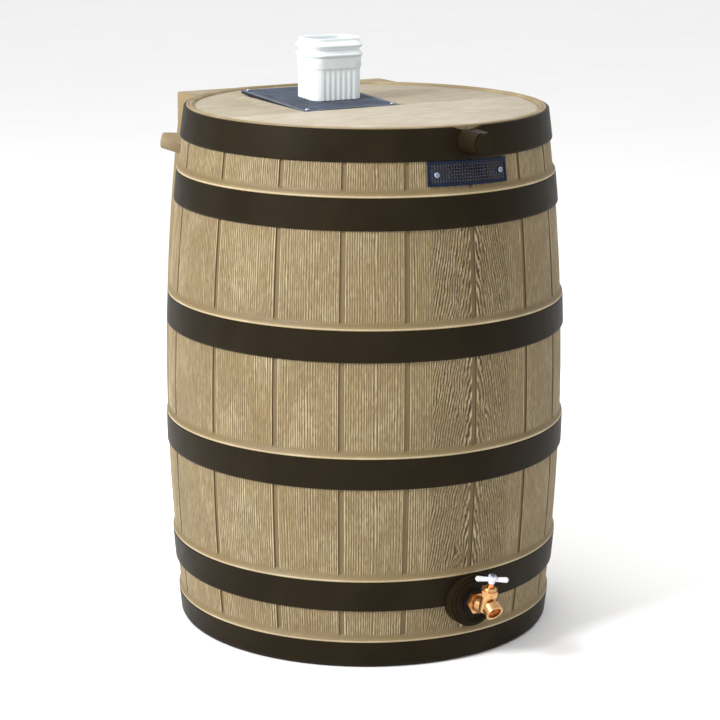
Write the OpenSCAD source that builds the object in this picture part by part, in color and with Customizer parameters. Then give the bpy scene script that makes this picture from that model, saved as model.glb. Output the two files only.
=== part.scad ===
// Flat-backed rain barrel with a brass hose spigot and a downspout end on its inlet screen.
// Millimetres. The barrel's axis is Z, the floor is Z = 0, the spigot faces -Y, the flat back +Y.

/* [Barrel] */
// Radius over the hoops at the widest point
belly_r = 309; // [290:1:320]
// Height of the widest point
belly_z = 357; // [340:1:380]
// Radius of the arc that the barrel's side follows
bulge_r = 3107; // [2800:10:3600]
// Distance from the axis to the flat back
flat_y = 267; // [255:1:275]
// Wall thickness behind the hoops
wall = 5; // [4:0.5:6]
// Azimuths of the grooves between the staves, each side of the front
stave_edges = [0, 20, 38, 57, 78.5, 102, 122];
// Width of a groove between two staves
groove_w = 8; // [6:0.5:10]

/* [Hoops] */
// Height of the base hoop
base_h = 40; // [36:1:44]
// Bare height above the base hoop and below the rim hoop
end_gap = 50; // [46:1:54]
// Height of each of the other hoops
hoop_h = 46.5; // [44:0.5:48]
// Bare height between the middle hoops
mid_gap = 142.5; // [138:0.5:148]
// Thickness of the hoops
hoop_t = 7; // [6:0.5:8]
// How far the staves lie inside the hoops' face
stave_depth = 4; // [3:0.5:5]

/* [Inlet] */
// Width of the inlet screen
screen_w = 168; // [160:1:176]
// Length of the inlet screen, front to back
screen_l = 200; // [190:1:205]
// Tilt of the inlet screen, up to the back
screen_tilt = 3; // [2:0.5:4]

/* [Overflow] */
// Arc width of the overflow screen
patch_w = 138; // [130:1:144]
// Height of the overflow screen
patch_h = 36; // [34:1:40]

/* [Spigot] */
// Radius of the garden hose thread on the outlet
hose_r = 13.4; // [13.2:0.1:13.6]
// Length of the hose thread
hose_l = 12; // [10:1:14]
// Height of the spigot's centre line
spigot_z = 97; // [95:1:99]
// Angle of the outlet below level
outlet_drop = 32; // [28:1:36]
// Lean of the valve stem towards the front
stem_lean = 16; // [12:1:20]
// Length of the tee handle
tee_l = 50; // [46:1:56]

/* [Downspout end] */
// Width of the downspout
spout_w = 88; // [82:1:92]
// Depth of the downspout
spout_d = 62; // [58:1:66]
// Height of the fluted part
spout_h = 52; // [48:1:58]

/* [Hidden] */
$fn = 96;

TAN = [0.74, 0.67, 0.52];
DARK = [0.17, 0.14, 0.11];
NAVY = [0.13, 0.15, 0.24];
BRASS = [0.82, 0.62, 0.33];
COPPER = [0.80, 0.45, 0.28];

// Lower edges of the hoops, base first, and the upper edge of each
hoop_z = [0, base_h + end_gap, base_h + end_gap + hoop_h + mid_gap,
    base_h + end_gap + 2 * (hoop_h + mid_gap), base_h + end_gap + 3 * (hoop_h + mid_gap),
    base_h + 2 * end_gap + 4 * hoop_h + 3 * mid_gap];
function hoop_top(i) = hoop_z[i] + (i == 0 ? base_h : hoop_h);
band_top = hoop_top(5);
rim_z = band_top + 2;

// Radius of the hoops' face at a height
function bulge(z) = belly_r - bulge_r + sqrt(pow(bulge_r, 2) - pow(z - belly_z, 2));
// Points on that arc, moved in or out by d
function arc_pts(z0, z1, d, n) =
    [for (i = [0:n]) let (z = z0 + (z1 - z0) * i / n) [bulge(z) + d, z]];

slab_inset = 95;
rim_r = bulge(band_top) - 4;
panel_r = rim_r - 11;
panel_z = 798.5;
panel_drop = 3;
ceiling_z = 787;
floor_t = 5;
nub_az = 129;
nub_z = 731;
nub_r = 12.5;
nub_l = 44;
nub_lift = 8;

crease_y = -22;
recess = [-121, 62, 186, 793];
kerb_w = 8;
kerb_h = 4.5;
inlet_hole = [-104, 32, 8, 152];
screen_x = -36;
screen_t = 1.5;
screen_inset = 9;
post_r = 6;

overflow_z = 734;
overflow_hole = [64, 24];
patch_t = 1.6;
patch_gap = 0.7;
patch_screw_az = 11;
patch_tilt = asin((overflow_z - belly_z) / bulge_r);

boss_r = 38.5;
boss_face_y = -317;
boss_recess_r = 27;
boss_recess_d = 4;
shank_r = 13.1;
insert_r = 18;
nose_z = 780;
nose_tip_y = -321;

stem_r = 4;
tee_z = 39.5;
valve_c = [0, -347, spigot_z + 10];
handle_angle = 22;

// Puts children on the valve's own axes: Z along the stem, -Y to the front
module on_stem() {
    translate(valve_c) rotate([stem_lean, 0, 0]) children();
}

// Puts children on the outlet's axis: Z out of the mouth
module on_outlet() {
    translate(valve_c) rotate([90 + outlet_drop, 0, 0]) children();
}

// Puts children at the overflow screen's screws: origin on the staves' face, Z outwards
module at_patch_screws() {
    for (s = [-1, 1]) at_azimuth(s * patch_screw_az, overflow_z)
        translate([bulge(overflow_z) - stave_depth, 0, 0]) rotate([0, 90 - patch_tilt, 0]) children();
}

// Puts children on the tilted inlet screen: origin at the middle of its front edge, underside
module on_screen() {
    translate([screen_x, crease_y + 1, panel_z - screen_t]) rotate([screen_tilt, 0, 0]) children();
}

// Puts children on a radius at an azimuth from the front, X pointing out
module at_azimuth(az, z) {
    translate([0, 0, z]) rotate([0, 0, az - 90]) children();
}

module hex(across, h) {
    cylinder(r = across / sqrt(3), h = h, $fn = 6);
}

// The flat-back slab: wider than the chord it closes, its sides following the bulge
module slab(d = 0, y0 = 0, y1 = flat_y, z0 = 0, z1 = rim_z - 1) {
    n = 14;
    side = [for (i = [0:n]) let (z = z0 + (z1 - z0) * i / n) [bulge(z) - slab_inset + d, z]];
    translate([0, y1, 0]) rotate([90, 0, 0]) linear_extrude(height = y1 - y0)
        polygon(concat(side, [for (i = [n:-1:0]) [-side[i][0], side[i][1]]]));
}

// Outline of the barrel's side, floor to rim: a channel for each hoop, staves between
function stave_outline() = concat(
    [[bulge(0) - hoop_t, 0], [bulge(base_h) - hoop_t, base_h]],
    [for (i = [0:4]) let (a = hoop_top(i), b = hoop_z[i + 1])
        each concat(
            [[bulge(a) - 0.2, a], [bulge(a) - 0.3, a + 4], [bulge(a) - 1.5, a + 6.5],
                [bulge(a) - 3.2, a + 9]],
            arc_pts(a + 14, b, -stave_depth, 5),
            [[bulge(b) - hoop_t, b], [bulge(hoop_top(i + 1)) - hoop_t, hoop_top(i + 1)]])],
    [[rim_r, band_top], [rim_r, rim_z - 2], [rim_r - 2, rim_z]]);

module stave_grooves() {
    sweep_deg = groove_w / belly_r * 180 / PI;
    for (i = [0:4])
        for (e = stave_edges, s = e == 0 ? [1] : [-1, 1])
            let (z0 = hoop_top(i) + 10.5, z1 = hoop_z[i + 1] + 2)
                rotate([0, 0, s * e - 90 - sweep_deg / 2]) rotate_extrude(angle = sweep_deg)
                    polygon(concat(arc_pts(z0, z1, -stave_depth - 2, 3),
                        [[bulge(z1) + 12, z1], [bulge(z0) + 12, z0]]));
}

// The hollow inside the tank
module tank_hollow() {
    intersection() {
        rotate_extrude() polygon(concat([[0, floor_t]],
            arc_pts(floor_t, ceiling_z, -hoop_t - wall, 10), [[0, ceiling_z]]));
        translate([-400, -400, 0]) cube([800, 400 + flat_y - wall, 900]);
    }
    slab(-wall, 0, flat_y - wall, floor_t, ceiling_z);
}

module side_nub(s) {
    at_azimuth(s * nub_az, nub_z) translate([bulge(nub_z) - hoop_t - wall, 0, 0])
        rotate([0, 90 - nub_lift, 0]) {
            cylinder(r1 = nub_r + 4.5, r2 = nub_r + 0.4, h = nub_l - 5);
            cylinder(r = nub_r, h = nub_l - 3);
            translate([0, 0, nub_l - 3.1]) cylinder(r1 = nub_r, r2 = nub_r - 3, h = 3.1);
        }
}

// Top surface: rim groove, front and back panels, and the recess under the screen
module top_cuts() {
    difference() {
        cylinder(r = rim_r - 4.5, h = rim_z + 1);
        cylinder(r = rim_r - 6, h = rim_z + 2);
        translate([0, 0, -1]) cylinder(r = rim_r, h = rim_z - 0.2);
    }
    intersection() {
        translate([0, 0, panel_z - 20]) cylinder(r = panel_r, h = 60);
        union() {
            translate([-300, crease_y, panel_z]) cube([600, 400, 20]);
            translate([0, crease_y, panel_z]) rotate([atan(panel_drop / 240), 0, 0])
                translate([-300, -300, 0]) cube([600, 310, 20]);
        }
    }
    translate([recess[0], crease_y, recess[3]]) cube([recess[1] - recess[0], recess[2] - crease_y, 20]);
    translate([inlet_hole[0], inlet_hole[2], ceiling_z - 5])
        cube([inlet_hole[1] - inlet_hole[0], inlet_hole[3] - inlet_hole[2], 30]);
}

// Kerb along the recess's left edge, rising to the back with the screen
module screen_kerb() {
    translate([recess[0] - kerb_w, 0, 0]) rotate([90, 0, 90]) linear_extrude(height = kerb_w)
        polygon([[crease_y, panel_z - 4], [recess[2], panel_z - 4], [recess[2], panel_z + kerb_h],
            [crease_y, panel_z]]);
}

// Posts under the corners of the inlet screen, drilled for its screws
module screen_posts() {
    for (s = [-1, 1], y = [screen_inset, screen_l - screen_inset])
        let (h = panel_z - screen_t - recess[3] + y * sin(screen_tilt) + 2)
            on_screen() translate([s * (screen_w / 2 - screen_inset), y, -h]) cylinder(r = post_r, h = h);
}

module at_screen_screws() {
    for (s = [-1, 1], y = [screen_inset, screen_l - screen_inset])
        on_screen() translate([s * (screen_w / 2 - screen_inset), y, 0]) children();
}

module overflow_slot() {
    translate([-overflow_hole[0] / 2, -300, overflow_z - overflow_hole[1] / 2])
        cube([overflow_hole[0], 60, overflow_hole[1]]);
}

module tank_shell() {
    color(TAN) difference() {
        union() {
            difference() {
                union() {
                    intersection() {
                        rotate_extrude() polygon(concat([[0, 0]], stave_outline(), [[0, rim_z]]));
                        translate([-400, -400, -1]) cube([800, 400 + flat_y, 900]);
                    }
                    slab();
                    for (s = [-1, 1]) side_nub(s);
                }
                stave_grooves();
                top_cuts();
            }
            screen_kerb();
            screen_posts();
        }
        tank_hollow();
        overflow_slot();
        at_screen_screws() translate([0, 0, -4]) cylinder(r = 1.55, h = 10);
        at_patch_screws() translate([0, 0, -15]) cylinder(r = 1.55, h = 30);
        translate([0, -270, spigot_z]) rotate([90, 0, 0]) cylinder(r = insert_r, h = 60);
    }
}

// A band that follows the bulge, cut off where the flat-back slab starts
module hoop(i) {
    z0 = hoop_z[i];
    z1 = hoop_top(i);
    foot = i == 0 ? 6 : 3;
    difference() {
        rotate_extrude() polygon(concat(
            [[bulge(z0) - hoop_t + 0.05, z0], [bulge(z0) - foot, z0],
                [bulge(z0) - foot * 0.3, z0 + foot * 0.3]],
            arc_pts(z0 + foot, z1 - 1, 0, 3),
            [[bulge(z1) - 1, z1], [bulge(z1) - hoop_t + 0.05, z1]]));
        slab(0.05, 0, 340, z0 - 5, z1 + 5);
    }
}

// Solid of everything inside the hoops' inner face, to trim a boss to its hoop
module hoop_core(i) {
    z0 = hoop_z[i];
    z1 = hoop_top(i);
    rotate_extrude() polygon([[0, z0 - 60], [bulge(z0) - hoop_t + 0.05, z0 - 60],
        [bulge(z0) - hoop_t + 0.05, z0], [bulge(z1) - hoop_t + 0.05, z1],
        [bulge(z1) - hoop_t + 0.05, z1 + 60], [0, z1 + 60]]);
}

// Rim hoop with the blind drain nose at the front and a dip in its edge above the nose
module rim_hoop() {
    dip_r = 60;
    color(DARK) difference() {
        union() {
            hoop(5);
            difference() {
                translate([0, -255, nose_z]) rotate([90, 0, 0]) {
                    cylinder(r1 = 21, r2 = 17.2, h = -nose_tip_y - 255 - 3);
                    cylinder(r1 = 17.5, r2 = 14.5, h = -nose_tip_y - 255);
                }
                hoop_core(5);
            }
        }
        translate([0, -200, band_top + dip_r - 5]) rotate([90, 0, 0]) cylinder(r = dip_r, h = 200);
    }
}

// Lower hoop with the stepped round boss that carries the spigot
module lower_hoop() {
    color(DARK) difference() {
        union() {
            hoop(1);
            difference() {
                translate([0, -255, spigot_z]) rotate([90, 0, 0]) {
                    cylinder(r = boss_r, h = -boss_face_y - 255 - 6);
                    cylinder(r = boss_r - 1.8, h = -boss_face_y - 255 - 2.5);
                    cylinder(r = boss_r - 6, h = -boss_face_y - 255);
                }
                lower_boss_core();
            }
        }
        translate([0, boss_face_y + boss_recess_d, spigot_z]) rotate([90, 0, 0])
            cylinder(r = boss_recess_r, h = 20);
        translate([0, boss_face_y + boss_recess_d / 2, spigot_z]) rotate([90, 0, 0])
            cylinder(r = boss_recess_r + 3.5, h = 20);
        translate([0, -240, spigot_z]) rotate([90, 0, 0]) cylinder(r = insert_r, h = 120);
    }
}

// The tank's side behind the spigot boss
module lower_boss_core() {
    rotate_extrude() polygon(concat([[0, 30]], [[bulge(0) + 0.1, 30], [bulge(base_h) + 0.1, base_h + 5]],
        arc_pts(base_h + 9.5, hoop_z[1], -stave_depth + 0.3, 4),
        [[bulge(hoop_z[1]) - hoop_t + 0.05, hoop_z[1]], [bulge(hoop_top(1)) - hoop_t + 0.05, hoop_top(1)],
            [0, hoop_top(1)]]));
}

module upper_hoop() { color(DARK) hoop(4); }
module upper_middle_hoop() { color(DARK) hoop(3); }
module lower_middle_hoop() { color(DARK) hoop(2); }
module base_hoop() { color(DARK) hoop(0); }

// Inlet screen: a sheet with its side edges folded down
module inlet_screen() {
    fold = 3;
    color(NAVY) on_screen() difference() {
        union() {
            translate([-screen_w / 2, 0, 0]) cube([screen_w, screen_l, screen_t]);
            for (s = [0, 1]) translate([-screen_w / 2 + s * (screen_w - 1.2), 30, -fold])
                cube([1.2, screen_l - 60, fold + 0.5]);
        }
        for (s = [-1, 1], y = [screen_inset, screen_l - screen_inset])
            translate([s * (screen_w / 2 - screen_inset), y, -1]) cylinder(r = 2.2, h = 5);
    }
}

// Pan-head screw pointing down -Z, head resting at Z = 0
module pan_screw(head_r, l) {
    intersection() {
        cylinder(r = head_r, h = head_r * 0.62);
        translate([0, 0, -head_r * 0.9]) sphere(r = head_r * 1.5, $fn = 48);
    }
    translate([0, 0, -l]) cylinder(r = 1.5, h = l + 0.5);
}

module inlet_screen_screws() {
    color("LightSteelBlue") at_screen_screws() translate([0, 0, screen_t]) pan_screw(4, 5);
}

// Overflow screen: a bent sheet that lies on the staves
module overflow_screen() {
    sweep_deg = patch_w / bulge(overflow_z) * 180 / PI;
    z0 = overflow_z - patch_h / 2;
    z1 = overflow_z + patch_h / 2;
    r0 = bulge(z0) - stave_depth + patch_gap;
    r1 = bulge(z1) - stave_depth + patch_gap;
    color(NAVY) difference() {
        rotate([0, 0, -90 - sweep_deg / 2]) rotate_extrude(angle = sweep_deg)
            polygon([[r0, z0], [r0 + patch_t, z0], [r1 + patch_t, z1], [r1, z1]]);
        at_patch_screws() translate([0, 0, -5]) cylinder(r = 2.2, h = 20);
    }
}

module overflow_screen_screws() {
    color("Silver") at_patch_screws() translate([0, 0, patch_gap + patch_t + 0.03]) pan_screw(4.4, 8);
}

// Threaded brass bush moulded into the boss
module spigot_insert() {
    color(BRASS) translate([0, -276, spigot_z]) rotate([90, 0, 0]) difference() {
        cylinder(r = insert_r - 0.1, h = -boss_face_y - boss_recess_d - 276);
        translate([0, 0, -1]) cylinder(r = shank_r + 0.1, h = 80);
    }
}

module spigot_gasket() {
    color("DimGray") translate([0, boss_face_y + boss_recess_d, spigot_z]) rotate([90, 0, 0])
        difference() {
            cylinder(r = insert_r + 2, h = 1.6);
            translate([0, 0, -1]) cylinder(r = shank_r + 0.1, h = 5);
        }
}

flange_y = boss_face_y + boss_recess_d - 1.6;

// Cast body: shank, wrench hexagon, valve chamber over its seat, outlet and hose thread
module spigot_body() {
    mouth = hose_l + 11;
    color(BRASS) difference() {
        union() {
            translate([0, -278, spigot_z]) rotate([90, 0, 0]) cylinder(r = shank_r, h = 40);
            translate([0, flange_y, spigot_z]) rotate([90, 0, 0]) {
                hex(29, 8);
                cylinder(r = 12.5, h = 16);
            }
            translate([0, flange_y - 15, spigot_z]) rotate([90, 0, 0])
                cylinder(r1 = 12.5, r2 = 9.5, h = 12);
            on_stem() translate([0, 0, -13]) cylinder(r = 11, h = 24);
            on_outlet() cylinder(r = 9, h = 14);
            on_outlet() translate([0, 0, 11]) cylinder(r = hose_r, h = hose_l);
        }
        translate([0, -270, spigot_z]) rotate([90, 0, 0]) cylinder(r = 9, h = 46);
        translate([0, -300, spigot_z - 2]) rotate([90, 0, 0]) cylinder(r = 4.8, h = 46);
        on_stem() translate([0, 0, -6]) cylinder(r = 8, h = 30);
        on_stem() translate([0, 0, -9.5]) cylinder(r = 5, h = 10);
        on_outlet() cylinder(r = 6, h = 60);
        on_outlet() translate([0, 0, mouth - 7]) cylinder(r = hose_r - 3, h = 20);
    }
}

// Hexagon bonnet nut that closes the valve chamber
module spigot_bonnet() {
    color(BRASS) on_stem() difference() {
        union() {
            translate([0, 0, 6]) cylinder(r = 7.95, h = 6);
            translate([0, 0, 11]) cylinder(r = 11.5, h = 2.5);
            translate([0, 0, 13]) hex(23, 9.5);
            translate([0, 0, 22]) cylinder(r1 = 10.5, r2 = 6.8, h = 3.5);
        }
        translate([0, 0, 5]) cylinder(r = stem_r + 0.3, h = 40);
        translate([0, 0, 14]) cylinder(r = stem_r + 2.6, h = 6);
    }
}

module stem_packing() {
    color("DimGray") on_stem() translate([0, 0, 14.1]) difference() {
        cylinder(r = stem_r + 2.5, h = 5.8);
        translate([0, 0, -1]) cylinder(r = stem_r + 0.05, h = 10);
    }
}

module valve_stem() {
    color(COPPER) on_stem() difference() {
        union() {
            translate([0, 0, -2.8]) cylinder(r = 6.5, h = 4);
            cylinder(r = stem_r, h = tee_z - 4.5);
        }
        translate([0, 0, -4]) cylinder(r = 1.77, h = 4.6);
        translate([0, 0, tee_z - 8.6]) cylinder(r = 2.02, h = 8);
    }
}

module seat_washer() {
    color("DimGray") on_stem() translate([0, 0, -5.3]) difference() {
        cylinder(r = 7.2, h = 2.2);
        translate([0, 0, -1]) cylinder(r = 1.8, h = 5);
    }
}

module seat_washer_screw() {
    color(BRASS) on_stem() {
        translate([0, 0, -7.2]) cylinder(r = 3, h = 1.6);
        translate([0, 0, -6]) cylinder(r = 1.75, h = 6.5);
    }
}

module tee_handle() {
    hub_h = 11;
    color("WhiteSmoke") on_stem() rotate([0, 0, -handle_angle]) difference() {
        union() {
            translate([0, 0, tee_z - hub_h / 2]) cylinder(r1 = 5.2, r2 = 6, h = hub_h);
            for (s = [-1, 1]) translate([0, 0, tee_z]) rotate([0, s * 90, 0]) {
                cylinder(r1 = 3, r2 = 4.2, h = tee_l / 2 - 4.2);
                translate([0, 0, tee_l / 2 - 4.2]) sphere(r = 4.2, $fn = 48);
            }
        }
        translate([0, 0, tee_z - 12]) cylinder(r = stem_r + 0.02, h = 8);
        translate([0, 0, tee_z - 7]) cylinder(r = 2.05, h = 20);
    }
}

module handle_screw() {
    color("Silver") on_stem() translate([0, 0, tee_z + 5.5]) {
        hex(6.5, 2.6);
        translate([0, 0, -14]) cylinder(r = 2, h = 14.5);
    }
}

spout_c = [-20.5, 76.5];
spout_r = 16;
spout_top = panel_z + spout_h;
collar_h = 16;
collar_out = 1.5;
pleat_in = -2;
pleat_out = 4.5;

// Hollow of a flute at t, where each whole t is a rib
function flute(t) = 1.2 * (1 - cos(360 * t)) / 2;
function corner(cx, cy, a0, r) = [for (a = [0:15:90]) [cx + r * cos(a0 + a), cy + r * sin(a0 + a)]];
// Downspout outline grown by g, its faces fluted by depth f, counterclockwise from the front
function spout_pts(g, f) =
    let (a = spout_w / 2, b = spout_d / 2, r = spout_r, m = a - r, n = b - r)
        concat(
            [for (i = [1:35]) [-m + 2 * m * i / 36, -b - g + f * flute(i / 6)]],
            corner(m, -n, -90, r + g),
            [for (i = [1:17]) [a + g - f * flute(i / 6), -n + 2 * n * i / 18]],
            corner(m, n, 0, r + g),
            [for (i = [1:35]) [m - 2 * m * i / 36, b + g - f * flute(i / 6)]],
            corner(-m, n, 90, r + g),
            [for (i = [1:17]) [-a - g + f * flute(i / 6), n - 2 * n * i / 18]],
            corner(-m, -n, 180, r + g));

module spout_prism(z, h, g, f = 0) {
    translate([spout_c[0], spout_c[1], z]) linear_extrude(height = h) polygon(spout_pts(g, f));
}

// Fluted downspout end, cut to the slope of the screen that it stands on
module downspout_end() {
    color("White") difference() {
        spout_prism(panel_z - 1, spout_h + 12, 0, 1);
        spout_prism(panel_z - 10, spout_h + 40, -2.8);
        on_screen() translate([-200, -100, -50 + screen_t + 0.3]) cube([400, 400, 50]);
    }
}

// One slope of a bellows pleat
module pleat(z, g0, g1, h) {
    hull() {
        spout_prism(z, 0.4, g0);
        spout_prism(z + h - 0.4, 0.4, g1);
    }
}

// Flexible connector: a plain collar over the downspout end, then bellows pleats
module downspout_bellows() {
    z0 = spout_top;
    z1 = z0 + collar_h;
    color("White") difference() {
        union() {
            spout_prism(z0, collar_h, collar_out);
            pleat(z1 - 0.1, collar_out, pleat_out, 4.6);
            pleat(z1 + 4.4, pleat_out, pleat_in, 7);
            pleat(z1 + 11.3, pleat_in, pleat_out, 7.6);
            pleat(z1 + 18.8, pleat_out, pleat_in, 7.6);
            pleat(z1 + 26.3, pleat_in, -0.5, 3.2);
        }
        spout_prism(z0 - 1, 13, 0.15);
        spout_prism(z0 - 1, 60, pleat_in - 2.5);
    }
}

tank_shell();
rim_hoop();
upper_hoop();
upper_middle_hoop();
lower_middle_hoop();
lower_hoop();
base_hoop();
inlet_screen();
inlet_screen_screws();
overflow_screen();
overflow_screen_screws();
spigot_insert();
spigot_gasket();
spigot_body();
spigot_bonnet();
stem_packing();
valve_stem();
seat_washer();
seat_washer_screw();
tee_handle();
handle_screw();
downspout_end();
downspout_bellows();
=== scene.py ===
import math

import bpy
import numpy as np
from mathutils import Matrix, Vector


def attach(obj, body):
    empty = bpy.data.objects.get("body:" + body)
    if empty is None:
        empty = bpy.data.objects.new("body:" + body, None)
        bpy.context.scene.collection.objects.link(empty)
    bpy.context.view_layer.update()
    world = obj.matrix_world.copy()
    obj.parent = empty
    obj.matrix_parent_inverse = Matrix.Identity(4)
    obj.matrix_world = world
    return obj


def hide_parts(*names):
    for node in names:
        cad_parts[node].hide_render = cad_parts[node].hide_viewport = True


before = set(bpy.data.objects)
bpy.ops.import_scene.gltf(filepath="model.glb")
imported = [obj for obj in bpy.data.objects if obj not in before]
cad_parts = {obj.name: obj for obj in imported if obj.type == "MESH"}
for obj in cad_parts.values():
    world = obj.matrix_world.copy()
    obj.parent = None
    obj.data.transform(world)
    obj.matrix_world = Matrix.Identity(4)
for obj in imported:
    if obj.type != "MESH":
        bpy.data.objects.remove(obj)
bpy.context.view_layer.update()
MM = 0.001
TAU = 2 * math.pi

# ---------------------------------------------------------------- sizes, in millimetres and degrees
# the hoops' bulged face: its radius at the belly, the belly's height, the radius of the bulge
BELLY_R, BELLY_Z, BULGE_R = 309.0, 357.0, 3107.0
HOOP_LOW = [0, 90, 279, 468, 657, 753.5]
HOOP_TOP = [40, 136.5, 325.5, 514.5, 703.5, 800]

# the tank's faces, as offsets from the hoops' face
CHANNEL, STAVE_FACE, INSIDE = -7.3, -4.0, -12.0

# the flat-backed slab: its back, how far its sides are inside the bulge, its wall, its corners
FLAT_Y, SLAB_INSET, SLAB_WALL, SLAB_CORNER = 267.0, 95.0, 5.0, 10.0

# stave edges round the barrel from the front, where the round side ends, where it starts to stretch
EDGES = [-122, -102, -78.5, -57, -38, -20, 0, 20, 38, 57, 78.5, 102, 122]
SIDE_END, STRETCH_FROM = 139.0, 123.6
LIMITS = [-SIDE_END] + EDGES + [SIDE_END]
ARCHED = (-20, 0)  # left edges of the two staves with arched grain, which meet at the front
ARC_R = 305.0
MM_PER_DEG = ARC_R * math.pi / 180
GROOVE, GROOVE_DEPTH = 4.0, 2.4
LIP_H = 14.5  # raised lip above each hoop

# the head: back panel, ceiling below it, crease, and the front panel's drop over its reach
PANEL_Z, CEILING_Z, CREASE_Y = 798.5, 787.0, -22.0
FRONT_DROP, FRONT_REACH = 3.0, 240
RECESS = (-121.0, 62.0, 186.0, 793.0)  # left, right, back, floor
HOLE = (-104.0, 32.0, 8.0, 152.0)  # left, right, front, back
KERB_W, KERB_RISE = 26, 4.5

# openings through the wall: low, high, half width
SLOT = (722.0, 746.0, 32.0)
PORT = (79.0, 115.0, 18.0)

# overflow patch and side ports
PATCH_Z, PATCH_H, PATCH_W = 716.0, 36.0, 138.0
PATCH_SCREW_AZ = 11
PORT_AZ, PORT_Z, PORT_LEAN = 129, 731, 8

# inlet screen, in its own frame: width, length, and its screws' distance from the edges
SCREEN_W, SCREEN_L, SCREEN_INSET, SCREEN_TILT = 168.0, 200.0, 9.0, 3
SCREEN_X = -36

# grain: ridge spacing of the straight figure, and the arches' spacing where they meet the groove
RIDGE, ARCH = 3.7, 27
# knots in the arched grain by band and stave: distance from the groove, height, swirl
KNOTS = {(1, -20): (15, 44, 2.4), (2, 0): (14, 78, 1.4), (3, -20): (30, 60, 0.8)}


# ---------------------------------------------------------------- materials
def new_material(name):
    """Material with its nodes, its links and its shader. Noise scales are per metre."""
    mat = bpy.data.materials.new(name)
    mat.use_nodes = True
    nodes = mat.node_tree.nodes
    return mat, nodes, mat.node_tree.links, nodes["Principled BSDF"]


def node(nodes, kind, **settings):
    made = nodes.new(kind)
    for key, value in settings.items():
        if key in made.inputs:
            made.inputs[key].default_value = value
        else:
            setattr(made, key.lower(), value)
    return made


def ramp(nodes, links, source, stops):
    made = nodes.new("ShaderNodeValToRGB")
    while len(made.color_ramp.elements) < len(stops):
        made.color_ramp.elements.new(0.5)
    for element, (at, colour) in zip(made.color_ramp.elements, stops):
        element.position = at
        element.color = (*colour, 1)
    links.new(source, made.inputs["Fac"])
    return made.outputs["Color"]


def mix(nodes, links, kind, factor, a, b):
    made = nodes.new("ShaderNodeMix")
    made.data_type = "RGBA"
    made.blend_type = kind
    for socket, value in ((made.inputs[0], factor), (made.inputs[6], a), (made.inputs[7], b)):
        if isinstance(value, (int, float)):
            socket.default_value = value
        elif isinstance(value, tuple):
            socket.default_value = (*value, 1)
        else:
            links.new(value, socket)
    return made.outputs[2]


def noise(nodes, links, scale, detail=3, stretch=(1, 1, 1), distortion=0.0):
    """Noise from 0 to 1 in the object's own frame."""
    place = nodes.new("ShaderNodeTexCoord")
    fit = nodes.new("ShaderNodeMapping")
    fit.inputs["Scale"].default_value = stretch
    links.new(place.outputs["Object"], fit.inputs["Vector"])
    made = node(nodes, "ShaderNodeTexNoise", Scale=scale, Detail=detail, Distortion=distortion)
    links.new(fit.outputs["Vector"], made.inputs["Vector"])
    return made.outputs["Fac"]


def bump(nodes, links, height, strength, distance, before=None):
    made = node(nodes, "ShaderNodeBump", Strength=strength, Distance=distance)
    links.new(height, made.inputs["Height"])
    if before is not None:
        links.new(before, made.inputs["Normal"])
    return made.outputs["Normal"]


def spread(nodes, links, source, low, high):
    made = nodes.new("ShaderNodeMapRange")
    made.inputs["To Min"].default_value = low
    made.inputs["To Max"].default_value = high
    links.new(source, made.inputs["Value"])
    return made.outputs["Result"]


def stave_material():
    """Tan plastic whose tone follows the wall's grain attribute, with worn, paler crests; that attribute also
    carries painted shade in the grooves and behind the overflow patch, and painted highlights on the lips and
    stave edges.
    """
    mat, nodes, links, shader = new_material("tan_woodgrain_plastic")
    grain = nodes.new("ShaderNodeAttribute")
    grain.attribute_name = "grain"
    tone = ramp(nodes, links, grain.outputs["Fac"], [
        (0.0, (0.035, 0.022, 0.008)), (0.3, (0.118, 0.083, 0.034)), (0.5, (0.180, 0.134, 0.063)),
        (0.72, (0.238, 0.184, 0.098)), (1.0, (0.440, 0.370, 0.240))])
    cloud = ramp(nodes, links, noise(nodes, links, 9, 4), [
        (0.3, (0.82, 0.785, 0.72)), (0.7, (0.95, 0.915, 0.87))])
    streak = ramp(nodes, links, noise(nodes, links, 420, 3, (1, 1, 0.05)), [
        (0.3, (0.88, 0.86, 0.83)), (0.7, (1.08, 1.08, 1.09))])
    colour = mix(nodes, links, "MULTIPLY", 1.0, tone, cloud)
    colour = mix(nodes, links, "MULTIPLY", 0.8, colour, streak)
    crests = ramp(nodes, links, grain.outputs["Fac"], [(0.5, (0, 0, 0)), (0.85, (0.5, 0.5, 0.5))])
    patches = ramp(nodes, links, noise(nodes, links, 16, 7, (1, 1, 0.7), 0.4), [
        (0.5, (0.05, 0.05, 0.05)), (0.72, (1, 1, 1))])
    worn = mix(nodes, links, "MULTIPLY", 1.0, crests, patches)
    colour = mix(nodes, links, "MIX", worn, colour, (0.480, 0.425, 0.290))
    links.new(colour, shader.inputs["Base Color"])
    links.new(spread(nodes, links, noise(nodes, links, 60, 3), 0.48, 0.66), shader.inputs["Roughness"])
    fine = bump(nodes, links, noise(nodes, links, 900, 3, (1, 1, 0.06)), 0.35, 0.0004)
    links.new(bump(nodes, links, noise(nodes, links, 1600, 2), 0.25, 0.0002, fine), shader.inputs["Normal"])
    shader.inputs["Specular IOR Level"].default_value = 0.35
    return mat


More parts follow.
